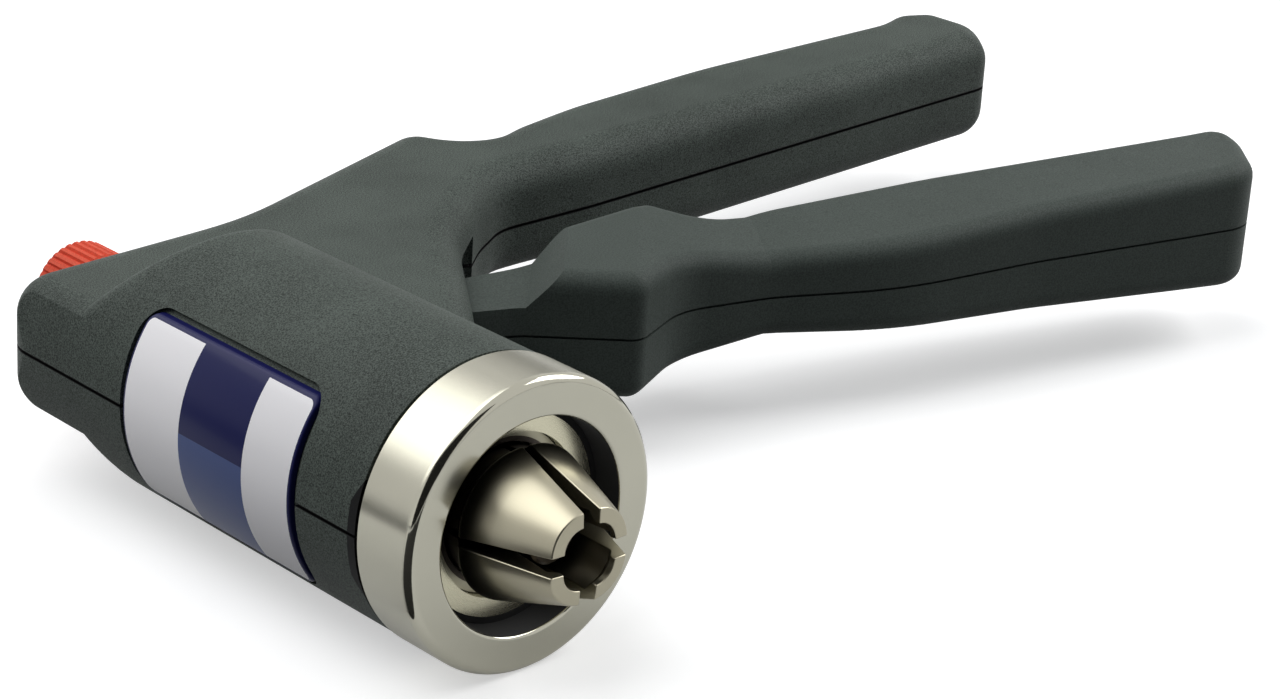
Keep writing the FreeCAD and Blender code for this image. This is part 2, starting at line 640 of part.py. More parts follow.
def lever_arm():
    """Steel core: the hub, the fork that straddles the sleeve, and the bar in the grip."""
    neck = ARM_REACH - SPOOL_FRONT_R - TINE_NECK_FREE
    side = [
        (0, FORK_ROOT_HALF), (neck - FORK_WAIST_LONG, FORK_WAIST_HALF), (neck, TINE_NECK_HALF),
        (ARM_REACH, TINE_NECK_HALF),
    ]
    other = [(along, -aside) for along, aside in reversed(side)]
    fork = slab([arm_spot(along, aside) + (0,) for along, aside in side + other], HUB_HALF)
    tip_x, tip_back = arm_spot(ARM_REACH, 0)
    fork = fork.fuse(post(tip_x, tip_back, TINE_TIP_R, -HUB_HALF, HUB_HALF))
    gap = block(-FAR, SPOOL_FRONT_R + FORK_CROTCH, 0, FAR, -TINE_IN_Z, TINE_IN_Z)
    hub = post(PIVOT_X, PIVOT_BACK, HUB_R, -HUB_HALF, HUB_HALF)
    bar = slab(from_pivot(CORE_OUTLINE), CORE_HALF)
    body = fork.cut(gap).fuse(hub).fuse(bar).removeSplitter()
    body = body.cut(post(PIVOT_X, PIVOT_BACK, PIVOT_PIN_R + BUSH_WALL + SEAT, -FAR, FAR))
    x, back = from_pivot([KNUCKLE_SCREW])[0]
    return body.cut(post(x, back, SELF_TAP_R + FREE, -HUB_HALF, HUB_HALF))


def pivot_pin():
    return post(PIVOT_X, PIVOT_BACK, PIVOT_PIN_R, -PIVOT_PIN_HALF, PIVOT_PIN_HALF)


def pivot_bushes():
    """Two flanged bushes, pressed into the hub from above and below."""
    end = HUB_HALF + BUSH_FLANGE
    sleeve = post(PIVOT_X, PIVOT_BACK, PIVOT_PIN_R + BUSH_WALL, HUB_HALF - BUSH_LONG, HUB_HALF)
    upper = sleeve.fuse(post(PIVOT_X, PIVOT_BACK, BUSH_FLANGE_R, HUB_HALF, end)).removeSplitter()
    upper = upper.cut(post(PIVOT_X, PIVOT_BACK, PIVOT_PIN_R + RUN, 0, end))
    return Part.makeCompound([upper, other_side(upper)])


def screw(x, back, half):
    """A self-tapping screw from below, with its head sunk in the lower half."""
    head_low = -half + SELF_TAP_SINK
    seat = head_low + SELF_TAP_HEAD_LONG
    body = post(x, back, SELF_TAP_R, seat, half - WALL)
    body = body.fuse(post(x, back, SELF_TAP_HEAD_R, head_low, seat)).removeSplitter()
    return body.cut(hex_socket(V(0, 0, 1), at(x, back, head_low), SELF_TAP_SOCKET_R, SELF_TAP_SOCKET_DEEP))


def screw_room(x, back, half):
    """What a screw takes out of both moulded halves."""
    seat = -half + SELF_TAP_SINK + SELF_TAP_HEAD_LONG
    sink = post(x, back, SELF_TAP_HEAD_R + FREE, -half - PAST, seat)
    hole = post(x, back, SELF_TAP_R + FREE, seat - PAST, 0)
    thread = post(x, back, SELF_TAP_R + SEAT, 0, half - WALL + FREE)
    return sink.fuse(hole).fuse(thread)


def moulded_half(form, side):
    """Half of a moulded form, above (1) or below (-1) the parting plane, with its shallow line."""
    far_half = block(-FAR, FAR, -FAR, FAR, -FAR, 0)
    face = Part.Face(form.slice(V(0, 0, 1), 0)[0])
    line = face.cut(face.makeOffset2D(-PART_LINE_DEPTH)).extrude(V(0, 0, PART_LINE_HALF))
    if side < 0:
        far_half = other_side(far_half)
        line = other_side(line)
    return form.cut(far_half).cut(line)


def label_patch(margin, inner_r, outer_r):
    """A patch of the barrel's left side between two radii, with rounded corners."""
    half = BARREL_R * math.sin(math.radians(LABEL_HALF_ANGLE)) + margin
    low = LABEL_BACK - margin
    high = LABEL_BACK + LABEL_LONG + margin
    patch = block(-FAR, 0, low, high, -half, half)
    upright = [e for e in patch.Edges if e.BoundBox.XLength > BARREL_R]
    patch = patch.makeFillet(LABEL_CORNER_R + margin, upright)
    return patch.common(tube(inner_r, outer_r, low - PAST, high + PAST))


def label_plate():
    floor_r = BARREL_R - LABEL_SINK + RUN
    return label_patch(0, floor_r, floor_r + LABEL_THICK)


def bulge():
    """The upper and lower swell of the barrel, which slopes down to the plate behind."""
    slope = math.tan(math.radians(BULGE_SLOPE))
    over = BARREL_R + PAST
    top_back = BULGE_END_BACK - PAST / slope
    foot_half = PLATE_HALF - BULGE_FOOT_SINK
    foot_back = BULGE_END_BACK + (BARREL_R - foot_half) / slope
    wedge = swept([
        at(-FAR, HOUSING_FRONT, -over), at(-FAR, top_back, -over), at(-FAR, foot_back, -foot_half),
        at(-FAR, foot_back, foot_half), at(-FAR, top_back, over), at(-FAR, HOUSING_FRONT, over),
    ], V(2 * FAR, 0, 0))
    barrel = rod(BARREL_R, HOUSING_FRONT, foot_back + PAST).common(wedge)
    ridges = []
    for edge in barrel.Edges:
        box = edge.BoundBox
        if box.YMin > FACE_Y + HOUSING_FRONT + PAST and box.XLength > BARREL_R and box.ZLength > PAST:
            ridges.append(edge)
    return barrel.makeFillet(BULGE_RIDGE_R, ridges)


def plate_reach():
    """The thickness of the plate and handle, whose underside rises at the saddle between them."""
    return side_prism([
        (-FAR, PLATE_HALF, 0), (FAR, PLATE_HALF, 0), (FAR, -PLATE_HALF, 0),
        (SADDLE_X + SADDLE_REACH, -PLATE_HALF, SADDLE_R), (SADDLE_X, SADDLE_DEEP - PLATE_HALF, SADDLE_R),
        (SADDLE_X - SADDLE_REACH, -PLATE_HALF, SADDLE_R), (-FAR, -PLATE_HALF, 0),
    ])


def housing_form():
    """The outside of the whole housing, without its hollows."""
    plate = soft_form(PLATE_OUTLINE, plate_reach(), PLATE_EDGE_R)
    reach = block(-PLATE_ROOT, FAR, 0, FAR, -FAR, FAR).fuse(rod(BARREL_R, 0, FAR))
    return plate.common(reach).fuse(bulge()).removeSplitter()


def housing_hollows():
    """The room inside the housing, alike above and below the parting plane."""
    chamber_front = HEAD_END_BACK + FREE
    flange_r = HEAD_FLANGE_R + SEAT
    bush_r = ADJUSTER_R + SEAT
    bush_flange_r = ADJUSTER_FLANGE_R + SEAT
    room = turned([
        (0, 0), (RING_BORE_R, 0), (RING_BORE_R, HEAD_FLANGE_BACK), (flange_r, HEAD_FLANGE_BACK),
        (flange_r, HEAD_FLANGE_END), (RING_BORE_R, HEAD_FLANGE_END), (RING_BORE_R, chamber_front),
        (CHAMBER_R, chamber_front), (CHAMBER_R, CHAMBER_END), (bush_r, CHAMBER_END),
        (bush_r, ADJUSTER_FLANGE_BACK), (bush_flange_r, ADJUSTER_FLANGE_BACK),
        (bush_flange_r, ADJUSTER_FLANGE_END), (bush_r, ADJUSTER_FLANGE_END), (bush_r, KNOB_END),
        (0, KNOB_END),
    ])
    hub_r = HUB_R + 2 * FREE
    fork_room = block(0, PIVOT_X, PIVOT_BACK - hub_r, PIVOT_BACK + hub_r, -POCKET_HALF, POCKET_HALF)
    hub_room = post(PIVOT_X, PIVOT_BACK, hub_r, -POCKET_HALF, POCKET_HALF)
    swing_room = slab(from_pivot(SWING_OUTLINE), TONGUE_HALF + TONGUE_FREE)
    pin_half = PIVOT_PIN_HALF + SEAT
    pin_room = post(PIVOT_X, PIVOT_BACK, PIVOT_PIN_R + SEAT, -pin_half, pin_half)
    return room.fuse(fork_room).fuse(hub_room).fuse(swing_room).fuse(pin_room)


def ribbed_hollow(outline, half, ribs, bosses):
    """A hollow crossed by ribs and by screw bosses, which stay solid."""
    hollow = slab(outline, half)
    for x in ribs:
        hollow = hollow.cut(block(x, x + RIB_THICK, 0, FAR, -FAR, FAR))
    for x, back in bosses:
        hollow = hollow.cut(post(x, back, BOSS_R, -FAR, FAR))
    return hollow


def housing_half(form, side):
    half = moulded_half(form, side).cut(housing_hollows())
    half = half.cut(ribbed_hollow(HANDLE_HOLLOW, POCKET_HALF, HANDLE_RIBS, HANDLE_SCREWS))
    for x, back in HOUSING_SCREWS + HANDLE_SCREWS:
        half = half.cut(screw_room(x, back, PLATE_HALF))
    return half.cut(label_patch(LABEL_MARGIN, BARREL_R - LABEL_SINK, BARREL_R + PAST))


def housing_screws():
    return Part.makeCompound([screw(x, back, PLATE_HALF) for x, back in HOUSING_SCREWS + HANDLE_SCREWS])


def across_lever(points):
    """A prism whose edges run along the ramp's foot, from (distance behind the foot, height) points."""
    body = swept([V(-FAR, y, z) for y, z in points], V(2 * FAR, 0, 0))
    body.rotate(V(0, 0, 0), V(0, 0, 1), RAMP_TURN)
    body.translate(at(*from_pivot([RAMP_FOOT])[0]))
    return body


def tongue_ramp():
    """What is cut off above the tongue, behind the ramp that climbs to the knuckle."""
    return across_lever([
        (0, TONGUE_HALF), (FAR, TONGUE_HALF), (FAR, FAR), (-FAR, FAR), (-RAMP_LONG, KNUCKLE_HALF),
    ])


def fall_reach():
    """What lies between the planes that fall from the knuckle's ridge to the waist."""
    slope = (KNUCKLE_HALF - GRIP_NEAR_HALF) / KNUCKLE_FALL
    high = KNUCKLE_HALF + 2 * FALL_REACH * slope
    low = KNUCKLE_HALF - FALL_REACH * slope
    behind = 2 * FALL_REACH - RIDGE_REACH
    ahead = -FALL_REACH - RIDGE_REACH
    return across_lever([(behind, high), (ahead, low), (ahead, -low), (behind, -high)])


def grip_half(along):
    """Half the grip's thickness, which grows along the lever from its pivot."""
    slope = (GRIP_FAR_HALF - GRIP_NEAR_HALF) / (GRIP_FAR - GRIP_NEAR)
    return GRIP_NEAR_HALF + slope * (along - GRIP_NEAR)


def grip_reach():
    """What lies between the grip's upper and lower face, from the pivot to past the lever's end."""
    near = grip_half(0)
    far = grip_half(2 * GRIP_FAR)
    end = PIVOT_X + 2 * GRIP_FAR
    return side_prism([(PIVOT_X, near, 0), (end, far, 0), (end, -far, 0), (PIVOT_X, -near, 0)])


def lever_form():
    """The outside of the moulded lever, tongue and all, without its hollows."""
    outline = from_pivot(LEVER_OUTLINE)
    level = block(-FAR, FAR, -FAR, FAR, -KNUCKLE_HALF, KNUCKLE_HALF)
    knuckle = soft_form(outline, level, LEVER_EDGE_R)
    knuckle = knuckle.common(soft_form(outline, fall_reach(), LEVER_EDGE_R))
    body = soft_form(outline, grip_reach(), LEVER_EDGE_R).fuse(knuckle).removeSplitter()
    ramp = tongue_ramp()
    body = body.cut(ramp).cut(other_side(ramp))
    return body.cut(post(PIVOT_X, PIVOT_BACK, HUB_R + RUN, -FAR, FAR))


def lever_screw_places():
    """The lever's screws, each with half the lever's thickness there."""
    places = [from_pivot([KNUCKLE_SCREW])[0] + (KNUCKLE_HALF,)]
    for along, aside in GRIP_SCREWS:
        places.append((PIVOT_X + along, PIVOT_BACK + aside, grip_half(along)))
    return places


def lever_half(form, side):
    half = moulded_half(form, side)
    half = half.cut(slab(from_pivot(CORE_OUTLINE), CORE_HALF, SEAT))
    ribs = [PIVOT_X + along for along in LEVER_RIBS]
    bosses = from_pivot(GRIP_SCREWS)
    half = half.cut(ribbed_hollow(from_pivot(LEVER_HOLLOW), GRIP_NEAR_HALF - WALL, ribs, bosses))
    for x, back, thick in lever_screw_places():
        half = half.cut(screw_room(x, back, thick))
    return half


def lever_screws():
    return Part.makeCompound([screw(*place) for place in lever_screw_places()])


def main():
    os.makedirs("parts", exist_ok=True)
    for make in (nose_ring, head_tube, jaw_collar, jaw_seat, jaw_ring, closing_sleeve, guide_bush,
                 return_spring, anvil_head, anvil_rod, anvil_key_pin, adjuster_bush, retaining_ring,
                 friction_ring, adjuster_spindle, adjuster_knob, knob_screw, pivot_pin, pivot_bushes,
                 lever_arm, housing_screws, lever_screws, label_plate):
        save(make.__name__, make())
    for i, name in enumerate(JAW_NAMES):
        save(name, jaw(45 + 90 * i))
    housing = housing_form()
    save("housing_upper", housing_half(housing, 1))
    save("housing_lower", housing_half(housing, -1))
    lever = lever_form()
    save("lever_grip_upper", lever_half(lever, 1))
    save("lever_grip_lower", lever_half(lever, -1))


main()
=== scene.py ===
import bmesh
import bpy
import math
from mathutils import Matrix, Vector


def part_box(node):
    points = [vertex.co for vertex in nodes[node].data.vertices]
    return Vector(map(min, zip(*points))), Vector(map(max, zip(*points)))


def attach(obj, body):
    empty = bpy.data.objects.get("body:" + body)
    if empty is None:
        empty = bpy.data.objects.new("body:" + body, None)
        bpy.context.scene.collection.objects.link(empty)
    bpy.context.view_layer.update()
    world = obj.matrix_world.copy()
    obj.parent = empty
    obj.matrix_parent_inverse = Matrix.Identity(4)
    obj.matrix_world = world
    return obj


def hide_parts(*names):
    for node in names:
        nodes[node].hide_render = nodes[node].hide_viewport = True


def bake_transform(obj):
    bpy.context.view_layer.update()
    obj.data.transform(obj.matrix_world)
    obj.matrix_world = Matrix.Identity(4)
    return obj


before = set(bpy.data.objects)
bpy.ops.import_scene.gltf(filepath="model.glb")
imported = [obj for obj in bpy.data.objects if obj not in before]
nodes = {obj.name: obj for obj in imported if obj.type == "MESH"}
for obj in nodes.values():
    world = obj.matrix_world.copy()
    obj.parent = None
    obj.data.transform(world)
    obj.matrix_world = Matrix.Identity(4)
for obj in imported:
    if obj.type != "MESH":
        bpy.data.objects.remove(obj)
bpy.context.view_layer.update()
MM = 0.001

# The nose ring's front face, from which "back" is measured, and its lowest point, where
# the floor lies
FACE_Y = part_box("nose_ring")[0].y
FLOOR_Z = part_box("nose_ring")[0].z

# Sizes are in millimetres: "back" from the ring's front face, radii from the barrel axis,
# and "up" over the parting plane

# The housing's front rim, the painted shade of a gap beside the parting line, and the line itself
HOUSING_FRONT = 10.75
RIM_UP = -0.8
RIM_HALF = 8.2
RIM_TAPER = 0.5
RIM_DEEP = 1.5
SEAM_HALF = 0.29

# The nose ring, and the cup in it
RING_BORE_R = 14.87
RING_BORE_SKIN = 0.03
RING_WALL_R = 20.3
# Beyond this radius the cup's floor is black, as painted shade beside the ring's bore
CUP_SATIN_R = 13.9
CUP_HOLE_R = 11.3
CUP_FLOOR_BACK = 4.7
CUP_HOLE_END = 7.9
COLLAR_LAND_R = 10.1

# The head tube behind the cup's floor
HEAD_R = RING_BORE_R - 0.05
HEAD_END = 47.0
HEAD_FLANGE_R = 17.02
HEAD_FLANGE_FROM = 14.0
HEAD_FLANGE_TO = 18.0
HEAD_POCKET_R = 12.05
HEAD_POCKET_FROM = 8.4
HEAD_POCKET_TO = 15.4
HEAD_BORE_R = 10.25
HEAD_GUIDE_R = 10.85
HEAD_GUIDE_FROM = 32.0
HEAD_STEPS = 192

# One jaw, closed. All four are tipped open by JAW_OPEN, and their edges that turn more
# than JAW_BROKEN_OVER are broken, both in degrees
JAW_OPEN = 4.5
JAW_TIP_BACK = -10.4
JAW_TIP_R = 5.2
JAW_TIP_EDGE_R = 0.3
JAW_LIP_R = 3.1
JAW_LIP_LONG = 1.0
JAW_LIP_END = 2.0
JAW_BORE_R = 4.3
JAW_BORE_BACK = 12.9
JAW_BASE_R = 9.9
JAW_BASE_BACK = 1.6
JAW_BASE_EDGE_R = 0.5
JAW_BASE_EDGE_IN = 0.35
JAW_BASE_LONG = 2.4
JAW_NECK_R = 8.8
JAW_PIVOT_BACK = 10.4
JAW_BEAD_PROUD = 0.4
JAW_BEAD_R = 1.3
JAW_GROOVE_FROM = 19.9
JAW_GROOVE_TO = 22.1
JAW_GROOVE_DEEP = 0.7
JAW_TAIL_BACK = 24.4
JAW_TAIL_WALL = 1.4
JAW_SLIT_HALF = 0.15
JAW_TAIL_ROOM = 0.93
JAW_STEPS = 20
JAW_BROKEN_EDGE = 0.12
JAW_BROKEN_OVER = 50
# Where the jaws' painted shade begins, and how far back it reaches full depth
JAW_DARK_FROM = -2.5
JAW_DARK_LONG = 5.0

# The label, its bands and its rounded edge
LABEL_LONG = 37.0
LABEL_MIDDLE = 42.5
LABEL_HALF = 13.12
LABEL_CORNER_R = 1.5
LABEL_BORDER = 0.45
LABEL_INNER_R = 19.5
LABEL_OUTER_R = 20.45
LABEL_EDGE_R = 0.3
LABEL_EDGE_STEPS = 4
LABEL_CORNER_STEPS = 8
LABEL_ROWS = 32
BAND_FROM = 34.2
BAND_TO = 48.2
BAND_TURNS_NAVY_UP = 1.0

# The return spring's wire
SPRING_WIRE_R = 0.7
SPRING_TURNS = 6.0
SPRING_STEPS = 32
SPRING_SIDES = 12

# Edges that turn more than this stay sharp, in degrees
SHARP_SOLID = 28
SHARP_WIRE = 50

# Points per metre in the moulded grain, for a plastic that asks for no other
MOULDED_POINTS = 4200.0

# Camera, as solved from the outlines of ring, barrel and handles: place in metres, angles
# in degrees
CAMERA_PLACE = Vector((-0.2581, -0.29165, 0.1772))
CAMERA_AZIMUTH = -43.86
CAMERA_ELEVATION = 21.56
CAMERA_ROLL = 3.59
CAMERA_NEAR = 0.01
CAMERA_FAR = 10
FOCAL_PIXELS = 3348
PHOTO_WIDTH = 1280
SENSOR_MM = 36

# Studio: levels of white and grey, and the soft boxes as place, aim, size and power, in
# metres and watts
STUDIO_COLOUR = (0.74, 0.86, 1.0, 1)
STUDIO_STRENGTH = 0.085
FLOOR_SIZE = 8.0
FLOOR_UNSEEN = 0.16
FLOOR_SEEN = 0.75
FLOOR_GLOW_CAMERA = 0.3
FLOOR_GLOW_SEEN = 0.2
CARD_OVER_FLOOR = 0.0006
REAR_CARD_OVER_FLOOR = 0.0007
TOP_BOX = ((-0.3, 0.37, 0.763), (0.03, 0.03, 0), 1.1, 8.8)
RIGHT_BOX = ((0.68, -0.2, 0.55), (0.05, 0.03, 0), 0.5, 4.2)


# Camera

def make_camera():
    """The photograph's view of the tool."""
    azimuth = math.radians(CAMERA_AZIMUTH)
    elevation = math.radians(CAMERA_ELEVATION)
    roll = math.radians(CAMERA_ROLL)
    ahead = Vector((
        -math.sin(azimuth) * math.cos(elevation),
        math.cos(azimuth) * math.cos(elevation),
        -math.sin(elevation),
    ))
    level = Vector((math.cos(azimuth), math.sin(azimuth), 0))
    up = level.cross(ahead)
    right = level * math.cos(roll) + up * math.sin(roll)
    top = up * math.cos(roll) - level * math.sin(roll)
    data = bpy.data.cameras.new("camera")
    data.sensor_width = SENSOR_MM
    data.lens = FOCAL_PIXELS * SENSOR_MM / PHOTO_WIDTH
    data.clip_start = CAMERA_NEAR
    data.clip_end = CAMERA_FAR
    camera = bpy.data.objects.new("camera", data)
    turn = Matrix((right, top, -ahead)).transposed()
    camera.matrix_world = Matrix.Translation(CAMERA_PLACE) @ turn.to_4x4()
    bpy.context.scene.collection.objects.link(camera)
    bpy.context.scene.camera = camera


# Node helpers

def wire(tree, value, socket):
    """Links a socket to a socket, or sets it to a value."""
    if isinstance(value, bpy.types.NodeSocket):
        tree.links.new(value, socket)
    else:
        socket.default_value = value


def node(tree, kind, **inputs):
    """A node with its sockets set or linked by name."""
    made = tree.nodes.new(kind)
    for name, value in inputs.items():
        wire(tree, value, made.inputs[name.replace("_", " ")])
    return made


def maths(tree, operation, *values):
    """The result of one Math node."""
    made = tree.nodes.new("ShaderNodeMath")
    made.operation = operation
    for value, socket in zip(values, made.inputs):
        wire(tree, value, socket)
    return made.outputs[0]


def plus(tree, a, b):
    return maths(tree, "ADD", a, b)


def minus(tree, a, b):
    return maths(tree, "SUBTRACT", a, b)


def times(tree, a, b):
    return maths(tree, "MULTIPLY", a, b)


def larger(tree, a, b):
    return maths(tree, "MAXIMUM", a, b)


def smaller(tree, a, b):
    return maths(tree, "MINIMUM", a, b)


def above(tree, value, limit):
    return maths(tree, "GREATER_THAN", value, limit)


def below(tree, value, limit):
    return maths(tree, "LESS_THAN", value, limit)


def between(tree, value, low, high):
    """1 where a value lies between two limits."""
    return times(tree, above(tree, value, low), below(tree, value, high))


def apart(tree, value, middle):
    """How far a value is from a middle, either way."""
    return maths(tree, "ABSOLUTE", minus(tree, value, middle))


def hypotenuse(tree, a, b):
    return maths(tree, "SQRT", plus(tree, times(tree, a, a), times(tree, b, b)))


def ramp(tree, factor, *stops):
    """A colour that changes evenly between stops of (place, colour)."""
    made = tree.nodes.new("ShaderNodeValToRGB")
    elements = made.color_ramp.elements
    while len(elements) < len(stops):
        elements.new(1)
    for element, (place, colour) in zip(elements, stops):
        element.position = place
        element.color = colour if len(colour) == 4 else (*colour, 1)
    wire(tree, factor, made.inputs["Fac"])
    return made.outputs["Color"]


def mixed(tree, factor, a, b, blend="MIX"):
    """Colour a where the factor is 0, and b where it is 1."""
    made = tree.nodes.new("ShaderNodeMix")
    made.data_type = "RGBA"
    made.blend_type = blend
    wire(tree, factor, made.inputs[0])
    wire(tree, a, made.inputs[6])
    wire(tree, b, made.inputs[7])
    return made.outputs[2]


def seen_directly(tree):
    """1 for what the camera sees, also in metal and through glass."""
    rays = tree.nodes.new("ShaderNodeLightPath").outputs
    seen = larger(tree, rays["Is Camera Ray"], rays["Is Transmission Ray"])
    return larger(tree, seen, rays["Is Glossy Ray"])


def object_place(tree):
    """Where a point is on the object, in metres."""
    return tree.nodes.new("ShaderNodeTexCoord").outputs["Object"]


# Colours

def grey(level):
    return (level, level, level, 1)


def rgb(r, g, b):
    """A colour as seen on the screen, 0 to 255, as Blender's linear value."""
    def linear(c):
        c = c / 255
        return c / 12.92 if c <= 0.04045 else ((c + 0.055) / 1.055) ** 2.4
    return (linear(r), linear(g), linear(b), 1)


def shades(colour, darker, lighter):
    """A colour darkened and lightened by two shares of itself."""
    dark = tuple(c * (1 - darker) for c in colour[:3])
    light = tuple(min(1.0, c * (1 + lighter)) for c in colour[:3])
    return dark, light


HOUSING_COLOUR = (0.0485, 0.058, 0.051, 1)
LEVER_COLOUR = (0.051, 0.0615, 0.055, 1)
# Black for the parting line, and for the painted shade of the gap at the housing's front rim
SEAM_AND_GAP_SHADE_BLACK = rgb(6, 6, 7)
BLACKED = (0.003, 0.003, 0.0035, 1)
RING_COLOUR = rgb(176, 174, 160)
HEAD_COLOUR = rgb(200, 196, 172)
JAW_COLOUR = rgb(163, 158, 139)
JAW_ROOT_SHADE = (0.07, 0.069, 0.07)
COLLAR_COLOUR = rgb(80, 74, 68)
COLLAR_LAND_COLOUR = rgb(178, 174, 152)
LABEL_WHITE = rgb(255, 253, 255)
# Navy print with a painted reflection over it, for the band's lower half
LABEL_NAVY = rgb(24, 28, 78)
LABEL_NAVY_AND_REFLECTION = rgb(72, 88, 138)
LABEL_EDGE = rgb(26, 28, 80)


# Effects that several materials share

def new_group(name, ins, outs):
    """A shader node group, with its input and output nodes."""
    tree = bpy.data.node_groups.new(name, "ShaderNodeTree")
    for label, value in ins:
        socket = tree.interface.new_socket(
            name=label, in_out="INPUT", socket_type="NodeSocketFloat")
        socket.default_value = value
    for label in outs:
        tree.interface.new_socket(name=label, in_out="OUTPUT", socket_type="NodeSocketFloat")
    source = tree.nodes.new("NodeGroupInput")
    return tree, source.outputs, tree.nodes.new("NodeGroupOutput").inputs


def use_group(tree, group, **inputs):
    """A group placed in a tree, with its inputs set by name."""
    made = tree.nodes.new("ShaderNodeGroup")
    made.node_tree = group
    for name, value in inputs.items():
        wire(tree, value, made.inputs[name.replace("_", " ")])
    return made.outputs


def noise(tree, place, scale, detail, roughness):
    made = node(tree, "ShaderNodeTexNoise", Vector=place, Scale=scale, Detail=detail,
                Roughness=roughness)
    return made.outputs["Fac"]


def moulded_grain_group():
    """The fine spark-eroded grain of a moulded shell: a height and a colour mask."""
    patches_per_metre, patch_height, patch_tone, even_tone = 60.0, 0.3, 0.35, 0.825
    tree, source, result = new_group(
        "moulded grain", [("Grain per metre", MOULDED_POINTS)], ["Height", "Speckle"])
    place = object_place(tree)
    fine = noise(tree, place, source["Grain per metre"], detail=3.0, roughness=0.65)
    wide = noise(tree, place, patches_per_metre, detail=4.0, roughness=0.6)
    wire(tree, plus(tree, fine, times(tree, wide, patch_height)), result["Height"])
    patches = plus(tree, times(tree, wide, patch_tone), even_tone)
    wire(tree, times(tree, fine, patches), result["Speckle"])
    return tree


def barrel_place_group():
    """Where a point lies on the barrel, in millimetres and radians: 0 is +X, pi/2 is up."""
    tree, _, result = new_group("barrel place", [], ["Radius", "Back", "Clock", "Up"])
    split = tree.nodes.new("ShaderNodeSeparateXYZ")
    wire(tree, object_place(tree), split.inputs[0])
    x, y, z = [times(tree, part, 1 / MM) for part in split.outputs]
    wire(tree, hypotenuse(tree, x, z), result["Radius"])
    wire(tree, minus(tree, y, FACE_Y / MM), result["Back"])
    wire(tree, maths(tree, "ARCTAN2", z, x), result["Clock"])
    wire(tree, z, result["Up"])
    return tree


def turned_grain_group():
    """Fine scratches that run round the barrel axis, as a lathe and a brush leave them."""
    patches_per_metre = 90.0
    tree, source, result = new_group(
        "turned grain", [("Lines per millimetre", 9.0), ("Streak", 6.0)], ["Height", "Patch"])
    place = use_group(tree, BARREL_PLACE)
    lines = source["Lines per millimetre"]
    clock = maths(tree, "ABSOLUTE", place["Clock"])
    stretched = tree.nodes.new("ShaderNodeCombineXYZ")
    wire(tree, times(tree, place["Radius"], lines), stretched.inputs[0])
    wire(tree, times(tree, place["Back"], lines), stretched.inputs[1])
    wire(tree, times(tree, clock, source["Streak"]), stretched.inputs[2])
    lathe = noise(tree, stretched.outputs[0], 1.0, detail=2.0, roughness=0.6)
    patch = noise(tree, object_place(tree), patches_per_metre, detail=3.0, roughness=0.55)
    wire(tree, lathe, result["Height"])
    wire(tree, patch, result["Patch"])
    return tree


MOULDED_GRAIN = moulded_grain_group()
BARREL_PLACE = barrel_place_group()
TURNED_GRAIN = turned_grain_group()


# Finishes

def new_material(name, colour, roughness, metallic=0.0):
    material = bpy.data.materials.new(name)
    material.use_nodes = True
    material.diffuse_color = colour
    tree = material.node_tree
    shader = tree.nodes["Principled BSDF"]
    shader.inputs["Base Color"].default_value = colour
    shader.inputs["Roughness"].default_value = roughness
    shader.inputs["Metallic"].default_value = metallic
    return material, tree, shader


def bumped(tree, shader, height, strength, distance):
    """Raises the surface by a height from 0 to 1, over a distance in metres."""
    bump = node(tree, "ShaderNodeBump", Height=height, Strength=strength, Distance=distance)
    wire(tree, bump.outputs["Normal"], shader.inputs["Normal"])


def moulded_plastic(name, colour, speckled, bump, grain=MOULDED_POINTS):
    """Soft-touch plastic: half matt, with a fine grain and lighter points."""
    matt, smooth, specular = 0.62, 0.5, 0.1
    dark_share, grain_deep = 0.6, 0.00006
    material, tree, shader = new_material(name, colour, 0.58)
    pattern = use_group(tree, MOULDED_GRAIN, Grain_per_metre=grain)
    dark, light = shades(colour, dark_share * speckled, speckled)
    tint = ramp(tree, pattern["Speckle"], (0.38, dark), (0.6, light))
    wire(tree, tint, shader.inputs["Base Color"])
    rough = ramp(tree, pattern["Speckle"], (0.3, grey(matt)), (0.7, grey(smooth)))
    wire(tree, rough, shader.inputs["Roughness"])
    bumped(tree, shader, pattern["Height"], bump, grain_deep)
    shader.inputs["Specular IOR Level"].default_value = specular
    return material, tree, shader, tint


def housing_plastic():
    """The housing's plastic, black in the parting line, with painted shade in the front rim's
    gap.
    """
    material, tree, shader, tint = moulded_plastic(
        "housing plastic", HOUSING_COLOUR, speckled=0.95, bump=0.45, grain=4600.0)
    place = use_group(tree, BARREL_PLACE)
    room = minus(tree, RIM_HALF, apart(tree, place["Up"], RIM_UP))
    deep = smaller(tree, times(tree, room, RIM_TAPER), RIM_DEEP)
    left = above(tree, maths(tree, "ABSOLUTE", place["Clock"]), math.pi / 2)
    from_front = minus(tree, place["Back"], HOUSING_FRONT)
    # Painted shade: black in a band behind the front rim on the left side, for the gap there
    painted_gap_shade = times(tree, below(tree, from_front, deep), left)
    seam = below(tree, maths(tree, "ABSOLUTE", place["Up"]), SEAM_HALF)
    dark = larger(tree, painted_gap_shade, seam)
    wire(tree, mixed(tree, dark, tint, SEAM_AND_GAP_SHADE_BLACK), shader.inputs["Base Color"])
    return material


